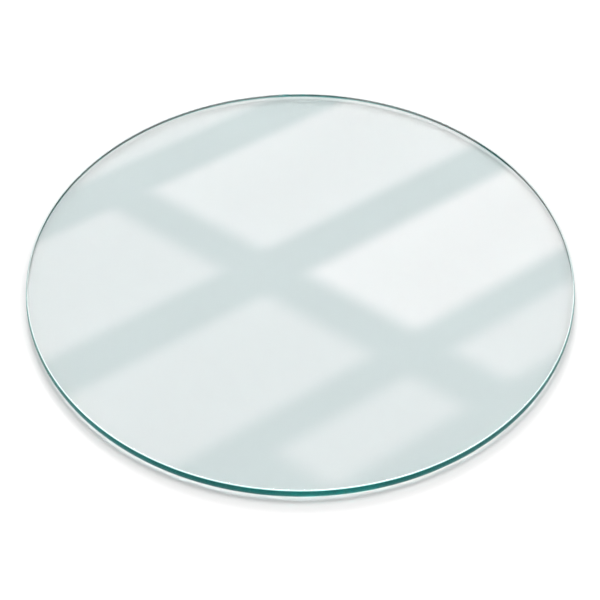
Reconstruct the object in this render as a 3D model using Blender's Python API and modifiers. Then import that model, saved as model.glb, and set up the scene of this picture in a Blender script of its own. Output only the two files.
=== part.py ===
"""Flat round plate of clear float glass with a slightly rounded polished edge and ground arrises.

The plate is one piece of glass. Its frame is in metres with +Z up. The origin is the centre of the
underside, on the surface that the plate lies on, and the plate is a solid of revolution about Z.
"""

import math

import bmesh
import bpy

# Driving dimensions, in metres
DIAMETER = 0.600        # across the polished edge
THICKNESS = 0.010       # of the sheet, face to face
WALL_BULGE = 0.0010     # how far the rounded edge stands out past its own top and bottom
ARRIS_REACH = 0.0013    # the ground arris, along the face
ARRIS_DROP = 0.0006     # the ground arris, down the edge

# Fineness of the turned solid
FACETS = 256            # round the edge, a multiple of four so that the plate is exactly DIAMETER across
WALL_STEPS = 4          # down the rounded edge, an even count so that one ring lies at DIAMETER
MERGE_DISTANCE = 1e-6   # joins the turned profile's ends on the axis

# Clear float glass: pale blue-green through its thickness
GLASS_COLOUR = (0.78, 0.91, 0.89, 1.0)
GLASS_IOR = 1.52
POLISHED_ROUGHNESS = 0.02

COLLECTION_NAME = "watch_glass"


def clear_scene():
    """Removes every object that the scene starts with."""
    for scene_object in list(bpy.data.objects):
        bpy.data.objects.remove(scene_object, do_unlink=True)


def add_collection(name):
    """Adds a collection to the scene and returns it."""
    collection = bpy.data.collections.new(name)
    bpy.context.scene.collection.children.link(collection)
    return collection


def float_glass_material():
    """Makes the clear, polished glass."""
    material = bpy.data.materials.new("float_glass")
    material.use_nodes = True
    shader = material.node_tree.nodes["Principled BSDF"]
    shader.inputs["Base Color"].default_value = GLASS_COLOUR
    shader.inputs["Roughness"].default_value = POLISHED_ROUGHNESS
    shader.inputs["Metallic"].default_value = 0.0
    shader.inputs["IOR"].default_value = GLASS_IOR
    shader.inputs["Transmission Weight"].default_value = 1.0
    return material


def wall_profile():
    """Gives the rounded edge as points on one arc, from its top to its bottom."""
    half_height = THICKNESS / 2 - ARRIS_DROP
    sweep = (WALL_BULGE**2 + half_height**2) / (2 * WALL_BULGE)
    lean = math.asin(half_height / sweep)
    points = []
    for step in range(WALL_STEPS + 1):
        angle = lean * (1 - 2 * step / WALL_STEPS)
        radius = DIAMETER / 2 - sweep * (1 - math.cos(angle))
        points.append((radius, THICKNESS / 2 + sweep * math.sin(angle)))
    return points


def plate_profile():
    """Gives the plate's half section as (radius, height), from the top of the axis to its foot."""
    face_radius = DIAMETER / 2 - WALL_BULGE - ARRIS_REACH
    top = [(0.0, THICKNESS), (face_radius, THICKNESS)]
    bottom = [(face_radius, 0.0), (0.0, 0.0)]
    return top + wall_profile() + bottom


def add_turned_piece(name, profile, material, collection):
    """Turns a half section about Z into one closed solid and returns its object."""
    outline = bmesh.new()
    points = [outline.verts.new((radius, 0.0, height)) for radius, height in profile]
    for upper, lower in zip(points, points[1:]):
        outline.edges.new((upper, lower))
    mesh = bpy.data.meshes.new(name)
    outline.to_mesh(mesh)
    outline.free()
    mesh.materials.append(material)

    piece = bpy.data.objects.new(name, mesh)
    collection.objects.link(piece)
    turning = piece.modifiers.new("turning", "SCREW")
    turning.axis = "Z"
    turning.angle = math.tau
    turning.steps = FACETS
    turning.render_steps = FACETS
    turning.use_merge_vertices = True
    turning.merge_threshold = MERGE_DISTANCE
    turning.use_smooth_shade = False
    return piece


def main():
    """Builds the plate."""
    clear_scene()
    collection = add_collection(COLLECTION_NAME)
    add_turned_piece("glass_disc", plate_profile(), float_glass_material(), collection)


main()
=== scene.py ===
"""Looks of a flat round plate of clear float glass that lies on a white table under a window."""

import logging
import math
from dataclasses import dataclass, field
from enum import Enum

import bpy
from mathutils import Matrix, Vector


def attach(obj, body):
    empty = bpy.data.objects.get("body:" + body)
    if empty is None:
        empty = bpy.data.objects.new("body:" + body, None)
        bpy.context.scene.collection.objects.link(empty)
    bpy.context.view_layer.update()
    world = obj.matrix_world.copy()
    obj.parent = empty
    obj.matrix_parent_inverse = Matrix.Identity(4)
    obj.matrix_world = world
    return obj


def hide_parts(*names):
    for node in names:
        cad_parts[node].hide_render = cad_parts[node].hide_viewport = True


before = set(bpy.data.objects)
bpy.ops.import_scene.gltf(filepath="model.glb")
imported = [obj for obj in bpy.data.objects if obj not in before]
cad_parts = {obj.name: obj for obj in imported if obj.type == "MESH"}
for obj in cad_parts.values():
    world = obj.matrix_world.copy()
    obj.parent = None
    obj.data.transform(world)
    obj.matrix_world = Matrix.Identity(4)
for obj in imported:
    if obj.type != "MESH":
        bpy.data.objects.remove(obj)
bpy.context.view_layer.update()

LOG = logging.getLogger("glass_plate")

Colour = tuple[float, float, float]
Point = tuple[float, float]


class Body(Enum):
    """The CAD bodies that pieces ride on."""

    ROOT = "root"


class Slot(Enum):
    """The material slots."""

    FLOAT_GLASS = "float_glass"


def rgba(colour: Colour) -> tuple[float, float, float, float]:
    """Adds an opaque alpha to a colour."""
    return (*colour, 1.0)


def deselect_all() -> None:
    """Leaves object mode with nothing selected, so that an operator acts on its own piece only."""
    if bpy.context.object is not None and bpy.context.object.mode != "OBJECT":
        bpy.ops.object.mode_set(mode="OBJECT")
    bpy.ops.object.select_all(action="DESELECT")


class Nodes:
    """Writes short formulas as nodes of one material or world."""

    def __init__(self, tree: bpy.types.NodeTree) -> None:
        """Keeps the node tree.

        Args:
            tree: The tree that the nodes are added to.
        """
        self.tree = tree

    def add(self, kind: str, **values: object) -> bpy.types.Node:
        """Adds a node and sets its properties.

        Args:
            kind: The node's type name.
            values: Properties of the node by name.

        Returns:
            The new node.
        """
        node = self.tree.nodes.new(kind)
        for name, value in values.items():
            setattr(node, name, value)
        return node

    def put(self, socket: bpy.types.NodeSocket, value: object) -> None:
        """Sets or links a socket.

        Args:
            socket: The input to fill.
            value: A constant, or the output that it is linked from.
        """
        if isinstance(value, bpy.types.NodeSocket):
            self.tree.links.new(value, socket)
        else:
            socket.default_value = value

    def math(self, operation: str, *terms: object) -> bpy.types.NodeSocket:
        """Adds one sum.

        Args:
            operation: The Math node's operation.
            terms: Constants or outputs.

        Returns:
            The result's output.
        """
        node = self.add("ShaderNodeMath", operation=operation)
        for socket, term in zip(node.inputs, terms):
            self.put(socket, term)
        return node.outputs[0]

    def rise(self, value: object, start: float, end: float) -> bpy.types.NodeSocket:
        """Goes smoothly from 0 to 1 while the value goes from start to end.

        Args:
            value: The output that is read.
            start: Where the step starts.
            end: Where the step ends.

        Returns:
            The step's output.
        """
        node = self.add("ShaderNodeMapRange", interpolation_type="SMOOTHSTEP", clamp=True)
        self.put(node.inputs["Value"], value)
        node.inputs["From Min"].default_value = start
        node.inputs["From Max"].default_value = end
        return node.outputs["Result"]

    def fall(self, value: object, start: float, end: float) -> bpy.types.NodeSocket:
        """Goes smoothly from 1 to 0 while the value goes from start to end."""
        return self.math("SUBTRACT", 1.0, self.rise(value, start, end))

    def mix(self, share: object, first: object, second: object) -> bpy.types.NodeSocket:
        """Blends two colours.

        Args:
            share: How much of the second colour there is, from 0 to 1.
            first: A colour or the output that gives it.
            second: A colour or the output that gives it.

        Returns:
            The blend's output.
        """
        node = self.add("ShaderNodeMix", data_type="RGBA")
        self.put(node.inputs["Factor"], share)
        colours = [socket for socket in node.inputs if socket.type == "RGBA"]
        self.put(colours[0], first)
        self.put(colours[1], second)
        return next(socket for socket in node.outputs if socket.type == "RGBA")

    def place(self) -> tuple[bpy.types.NodeSocket, ...]:
        """Gives the three object coordinates."""
        coordinates = self.add("ShaderNodeTexCoord")
        split = self.add("ShaderNodeSeparateXYZ")
        self.put(split.inputs[0], coordinates.outputs["Object"])
        return tuple(split.outputs)


@dataclass(frozen=True)
class PlateSize:
    """Sizes of the plate, in metres.

    Attributes:
        radius: From the axis to the outermost point of the wall.
        thickness: Between the two faces.
        arris_reach: Width of the ground arris, seen from above.
        arris_drop: Depth of the ground arris, seen from the side.
        wall_bulge: How far the middle of the wall stands out past its rims.
        face_band: Width of the narrow ring of faces that keeps the face flat up to the arris.
        wall_steps: Faces down the height of the wall.
        segments: Faces round the plate.
    """

    radius: float = 0.300
    thickness: float = 0.010
    arris_reach: float = 0.0013
    arris_drop: float = 0.0006
    wall_bulge: float = 0.0010
    face_band: float = 0.0015
    wall_steps: int = 16
    segments: int = 720

    @property
    def wall_rim(self) -> float:
        """Radius of the line where the arris meets the wall."""
        return self.radius - self.wall_bulge

    @property
    def face_rim(self) -> float:
        """Radius of the line where the flat face meets the arris."""
        return self.wall_rim - self.arris_reach

    def outline(self) -> list[Point]:
        """Gives the half section, from the top of the axis to its foot.

        Returns:
            Points as (radius, height).
        """
        middle = self.thickness / 2
        half_wall = middle - self.arris_drop
        sweep = (self.wall_bulge**2 + half_wall**2) / (2 * self.wall_bulge)
        lean = math.asin(half_wall / sweep)
        turns = [lean - 2 * lean * step / self.wall_steps for step in range(self.wall_steps + 1)]
        wall = [
            (self.radius - sweep + sweep * math.cos(turn), middle + sweep * math.sin(turn))
            for turn in turns
        ]
        inner = self.face_rim - self.face_band
        upper = [(0.0, self.thickness), (inner, self.thickness), (self.face_rim, self.thickness)]
        lower = [(self.face_rim, 0.0), (inner, 0.0), (0.0, 0.0)]
        return upper + wall + lower


@dataclass(frozen=True)
class FloatGlass:
    """Clear float glass with polished faces, finely ground arrises and a polished teal wall.

    Attributes:
        index: Index of refraction.
        absorption: Light lost in the glass, per metre, in red, green and blue.
        face_colour: Share of light that the polished faces let through.
        wall_colour: The same for the wall, where the tint gathers.
        wall_shine: Tint of what the wall mirrors.
        wall_scatter: Share of light that the wall scatters.
        arris_colour: Colour of the outer half of the arris, next to the wall.
        arris_clear: Share of light that the ground arris lets through.
        arris_roughness: Roughness of the ground arris.
        tint_start: Where the arris begins to turn teal, as a share of its width from its outer rim.
        tint_end: Where the arris is fully teal, measured in the same way.
        margin: How far inside their rims the finishes change over, in metres.
    """

    index: float = 1.52
    absorption: Colour = (8.6, 3.0, 3.0)
    face_colour: Colour = (0.862, 0.864, 0.863)
    wall_colour: Colour = (0.03, 0.34, 0.305)
    wall_shine: Colour = (0.10, 0.95, 0.92)
    wall_scatter: float = 0.15
    arris_colour: Colour = (0.16, 0.37, 0.35)
    arris_clear: float = 0.5
    arris_roughness: float = 0.3
    tint_start: float = 0.7
    tint_end: float = 0.3
    margin: float = 0.00001

    def zones(self, nodes: Nodes, size: PlateSize) -> tuple[bpy.types.NodeSocket, ...]:
        """Finds the finishes' places on the plate.

        Args:
            nodes: The material's nodes.
            size: The plate's sizes.

        Returns:
            Shares from 0 to 1 of the wall, the ground arris and the teal outer half of the arris.
        """
        x, y, z = nodes.place()
        squares = nodes.math("ADD", nodes.math("MULTIPLY", x, x), nodes.math("MULTIPLY", y, y))
        out = nodes.math("SQRT", squares)
        half = size.thickness / 2
        height = nodes.math("ABSOLUTE", nodes.math("SUBTRACT", z, half))
        near_face = nodes.math("GREATER_THAN", height, half - size.arris_drop - self.margin)
        past_face = nodes.math("GREATER_THAN", out, size.face_rim + 2 * self.margin)
        arris = nodes.math("MULTIPLY", past_face, near_face)
        wall = nodes.math("SUBTRACT", past_face, arris)
        outer = nodes.rise(
            out,
            size.wall_rim - self.tint_start * size.arris_reach,
            size.wall_rim - self.tint_end * size.arris_reach,
        )
        return wall, arris, nodes.math("MULTIPLY", arris, outer)

    def material(self, size: PlateSize) -> bpy.types.Material:
        """Makes the glass.

        Args:
            size: The plate's sizes, which place the arris and the wall.

        Returns:
            The material.
        """
        made = bpy.data.materials.new("float_glass")
        made.use_nodes = True
        nodes = Nodes(made.node_tree)
        shader = made.node_tree.nodes["Principled BSDF"]
        wall, arris, teal = self.zones(nodes, size)
        face_and_arris = nodes.mix(teal, rgba(self.face_colour), rgba(self.arris_colour))
        ground_loss = nodes.math("MULTIPLY", arris, 1.0 - self.arris_clear)
        loss = nodes.math("MULTIPLY_ADD", wall, self.wall_scatter, ground_loss)
        finish = {
            "IOR": self.index,
            "Base Color": nodes.mix(wall, face_and_arris, rgba(self.wall_colour)),
            "Specular Tint": nodes.mix(wall, rgba((1.0, 1.0, 1.0)), rgba(self.wall_shine)),
            "Roughness": nodes.math("MULTIPLY", arris, self.arris_roughness),
            "Transmission Weight": nodes.math("SUBTRACT", 1.0, loss),
        }
        for name, value in finish.items():
            nodes.put(shader.inputs[name], value)
        strongest = max(self.absorption)
        volume = nodes.add("ShaderNodeVolumeAbsorption")
        volume.inputs["Color"].default_value = rgba(tuple(1.0 - rate / strongest for rate in self.absorption))
        volume.inputs["Density"].default_value = strongest
        nodes.put(made.node_tree.nodes["Material Output"].inputs["Volume"], volume.outputs[0])
        return made


@dataclass
class GlassPlate:
    """The plate: one piece of glass."""

    size: PlateSize = field(default_factory=PlateSize)
    glass: FloatGlass = field(default_factory=FloatGlass)

    def build(self) -> bpy.types.Object:
        """Draws the half section, spins it about Z and closes the solid.

        Returns:
            The plate's object.
        """
        deselect_all()
        outline = self.size.outline()
        bpy.ops.mesh.primitive_plane_add(size=1.0, location=(0.0, 0.0, 0.0))
        piece = bpy.context.object
        piece.name = "glass_plate"
        bpy.ops.object.mode_set(mode="EDIT")
        bpy.ops.mesh.select_all(action="SELECT")
        bpy.ops.mesh.merge(type="CENTER")
        bpy.ops.transform.translate(value=(outline[0][0], 0.0, outline[0][1]))
        for (radius, height), (next_radius, next_height) in zip(outline, outline[1:]):
            move = (next_radius - radius, 0.0, next_height - height)
            bpy.ops.mesh.extrude_vertices_move(TRANSFORM_OT_translate={"value": move})
        bpy.ops.mesh.select_all(action="SELECT")
        bpy.ops.mesh.spin(
            steps=self.size.segments, angle=2 * math.pi, center=(0.0, 0.0, 0.0), axis=(0.0, 0.0, 1.0)
        )
        bpy.ops.mesh.select_all(action="SELECT")
        bpy.ops.mesh.remove_doubles(threshold=1e-6)
        bpy.ops.mesh.normals_make_consistent(inside=False)
        bpy.ops.object.mode_set(mode="OBJECT")
        bpy.ops.object.shade_smooth_by_angle(angle=math.radians(20.0))
        return piece

    def dress(self, piece: bpy.types.Object) -> None:
        """Gives the plate its glass and its body, and hides the CAD node that it stands for.

        Args:
            piece: The plate's object.
        """
        piece.data.materials.clear()
        piece.data.materials.append(self.glass.material(self.size))
        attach(piece, Body.ROOT.value)
        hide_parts("glass_disc")


@dataclass(frozen=True)
class Pane:
    """One pane of the window: its edges on the window's plane, in metres, and its light."""

    left: float
    right: float
    low: float
    high: float
    light: float


@dataclass
class Window:
    """A wide glass roof with two families of bars, which the plate's face mirrors.

    Attributes:
        middle: Place of the roof's middle, in metres.
        along: Direction across the long bars.
        across: Direction along the long bars.
        softness: Half width of the blur at each pane's edge, in metres.
        reach: Half the roof's width, in metres.
        bar_light: Light of the bars between the panes.
        glow: Light that a pane of light 1 adds to the bars' light.
        panes: The panes, placed from the roof's middle.
    """

    middle: tuple[float, float, float] = (0.0, 11.878, 12.501)
    along: tuple[float, float, float] = (0.6121, -0.7339, -0.2944)
    across: tuple[float, float, float] = (-0.7792, -0.6232, -0.0664)
    softness: float = 0.18
    reach: float = 6.0
    bar_light: float = 0.60
    glow: Colour = (1.03, 0.74, 0.73)
    panes: tuple[Pane, ...] = (
        Pane(-6.50, -4.28, -6.50, 6.50, 1.5),
        Pane(-3.335, -0.87, -6.50, -0.13, 1.9),
        Pane(-3.335, -0.87, 0.47, 6.50, 1.55),
        Pane(-0.04, 1.86, -6.50, -0.13, 2.6),
        Pane(-0.04, 1.86, 0.47, 6.50, 1.55),
        Pane(2.435, 3.31, -6.50, -0.13, 1.8),
        Pane(2.435, 3.31, 0.47, 2.20, 1.5),
    )

    def material(self) -> bpy.types.Material:
        """Makes the window's light.

        Returns:
            The material.
        """
        made = bpy.data.materials.new("window_light")
        made.use_nodes = True
        made.node_tree.nodes.clear()
        nodes = Nodes(made.node_tree)
        x, y, _ = nodes.place()
        soft = self.softness
        total = None
        for pane in self.panes:
            inside = nodes.math(
                "MULTIPLY",
                nodes.rise(x, pane.left - soft, pane.left + soft),
                nodes.fall(x, pane.right - soft, pane.right + soft),
            )
            inside = nodes.math("MULTIPLY", inside, nodes.rise(y, pane.low - soft, pane.low + soft))
            inside = nodes.math("MULTIPLY", inside, nodes.fall(y, pane.high - soft, pane.high + soft))
            glow = nodes.add("ShaderNodeVectorMath", operation="SCALE")
            glow.inputs[0].default_value = tuple(part * pane.light for part in self.glow)
            nodes.put(glow.inputs["Scale"], inside)
            if total is None:
                total = glow.outputs[0]
            else:
                adding = nodes.add("ShaderNodeVectorMath", operation="ADD")
                nodes.put(adding.inputs[0], total)
                nodes.put(adding.inputs[1], glow.outputs[0])
                total = adding.outputs[0]
        base = nodes.add("ShaderNodeVectorMath", operation="ADD")
        nodes.put(base.inputs[0], total)
        base.inputs[1].default_value = (self.bar_light,) * 3
        emission = nodes.add("ShaderNodeEmission")
        nodes.put(emission.inputs["Color"], base.outputs[0])
        output = nodes.add("ShaderNodeOutputMaterial")
        nodes.put(output.inputs["Surface"], emission.outputs[0])
        return made

    def build(self) -> bpy.types.Object:
        """Hangs the window over the table, out of the camera's sight.

        Returns:
            The window's object.
        """
        deselect_all()
        bpy.ops.mesh.primitive_plane_add(size=2 * self.reach)
        panel = bpy.context.object
        panel.name = "stage_window"
        along = Vector(self.along).normalized()
        across = Vector(self.across)
        across = (across - along * across.dot(along)).normalized()
        facing = along.cross(across)
        turn = Matrix((along, across, facing)).transposed().to_4x4()
        panel.matrix_world = Matrix.Translation(self.middle) @ turn
        panel.data.materials.append(self.material())
        panel.visible_camera = False
        return panel


@dataclass
class Table:
    """The white table top, seen a little below the plate.

    Attributes:
        height: Height of its surface, in metres.
        span: Its width, in metres.
        colour: Its colour.
    """

    height: float = -0.0025
    span: float = 18.0
    colour: Colour = (0.6, 0.6, 0.6)

    def build(self) -> bpy.types.Object:
        """Lays the table top.

        Returns:
            The table's object.
        """
        deselect_all()
        bpy.ops.mesh.primitive_plane_add(size=self.span, location=(0.0, 0.0, self.height))
        top = bpy.context.object
        top.name = "stage_table"
        made = bpy.data.materials.new("white_table")
        made.use_nodes = True
        shader = made.node_tree.nodes["Principled BSDF"]
        shader.inputs["Base Color"].default_value = rgba(self.colour)
        shader.inputs["Roughness"].default_value = 1.0
        shader.inputs["Specular IOR Level"].default_value = 0.0
        top.data.materials.append(made)
        return top


@dataclass(frozen=True)
class Softbox:
    """A softbox that faces the plate.

    Attributes:
        name: The lamp's name.
        bearing: Turn from straight behind the plate towards its right, in degrees.
        height: Angle above the table, in degrees.
        width: Its width, in metres.
        depth: Its other side, in metres.
        light: Its brightness.
        distance: From the plate, in metres.
    """

    name: str
    bearing: float
    height: float
    width: float
    depth: float
    light: float
    distance: float = 20.0

    def hang(self) -> None:
        """Adds the softbox, turned towards the plate."""
        bearing = math.radians(self.bearing)
        height = math.radians(self.height)
        toward = Vector((
            math.sin(bearing) * math.cos(height),
            math.cos(bearing) * math.cos(height),
            math.sin(height),
        ))
        lamp = bpy.data.lights.new(self.name, "AREA")
        lamp.shape = "RECTANGLE"
        lamp.size = self.width
        lamp.size_y = self.depth
        lamp.energy = self.light * self.width * self.depth * math.pi
        box = bpy.data.objects.new(self.name, lamp)
        bpy.context.scene.collection.objects.link(box)
        box.location = toward * self.distance
        box.rotation_euler = toward.to_track_quat("Z", "Y").to_euler()


@dataclass
class Studio:
    """Soft daylight, three softboxes behind the plate and the camera.

    Attributes:
        sky: Light of the sky.
        backdrop: Brightness of the sky where the camera sees it.
        softboxes: The lamps.
        lens: The camera's focal length, in millimetres, on a sensor of film_width.
        film_width: Width of the sensor, in millimetres.
        eye: The camera's place, in metres.
        aim: The point that the camera looks at.
        far: How far the camera sees, in metres.
        bounces: How often light may turn inside the plate's edge.
        brightest: The most that one bounced ray may add.
    """

    sky: float = 1.21
    backdrop: float = 1.0
    softboxes: tuple[Softbox, ...] = (
        Softbox("side_softbox", bearing=46.0, height=50.0, width=9.5, depth=4.5, light=6.0),
        Softbox("top_softbox", bearing=-2.0, height=64.0, width=2.2, depth=2.2, light=19.0, distance=9.0),
        Softbox("low_softbox", bearing=-4.0, height=33.0, width=4.4, depth=4.4, light=31.0),
    )
    lens: float = 99.33
    film_width: float = 36.0
    eye: tuple[float, float, float] = (-0.0004, -1.2600, 1.3194)
    aim: tuple[float, float, float] = (-0.0004, -0.0357, 0.0)
    far: float = 100.0
    bounces: int = 96
    brightest: float = 30.0

    def light(self) -> None:
        """Adds the sky and the softboxes."""
        world = bpy.data.worlds.new("studio_sky")
        bpy.context.scene.world = world
        world.use_nodes = True
        nodes = Nodes(world.node_tree)
        background = world.node_tree.nodes["Background"]
        background.inputs["Color"].default_value = rgba((1.0, 1.0, 1.0))
        seen = nodes.add("ShaderNodeLightPath").outputs["Is Camera Ray"]
        level = nodes.math("MULTIPLY_ADD", seen, self.backdrop - self.sky, self.sky)
        nodes.put(background.inputs["Strength"], level)
        for softbox in self.softboxes:
            softbox.hang()

    def camera(self) -> None:
        """Adds the camera, and lets light bounce often enough inside the plate's edge."""
        lens = bpy.data.cameras.new("studio_camera")
        lens.sensor_width = self.film_width
        lens.lens = self.lens
        lens.clip_end = self.far
        eye = bpy.data.objects.new("studio_camera", lens)
        bpy.context.scene.collection.objects.link(eye)
        eye.location = self.eye
        eye.rotation_euler = (Vector(self.eye) - Vector(self.aim)).to_track_quat("Z", "Y").to_euler()
        bpy.context.scene.camera = eye
        bpy.context.scene.view_settings.view_transform = "Standard"
        cycles = bpy.context.scene.cycles
        cycles.max_bounces = self.bounces
        cycles.transmission_bounces = self.bounces
        cycles.glossy_bounces = self.bounces
        cycles.blur_glossy = 0.0
        cycles.sample_clamp_indirect = self.brightest


def main() -> None:
    """Builds the plate, then the stage round it."""
    logging.basicConfig(level=logging.INFO)
    plate = GlassPlate()
    piece = plate.build()
    plate.dress(piece)
    LOG.info("%s: %d faces", piece.name, len(piece.data.polygons))
    for stage in (Table(), Window()):
        LOG.info("%s", stage.build().name)
    studio = Studio()
    studio.light()
    studio.camera()


if __name__ == "__main__":
    main()
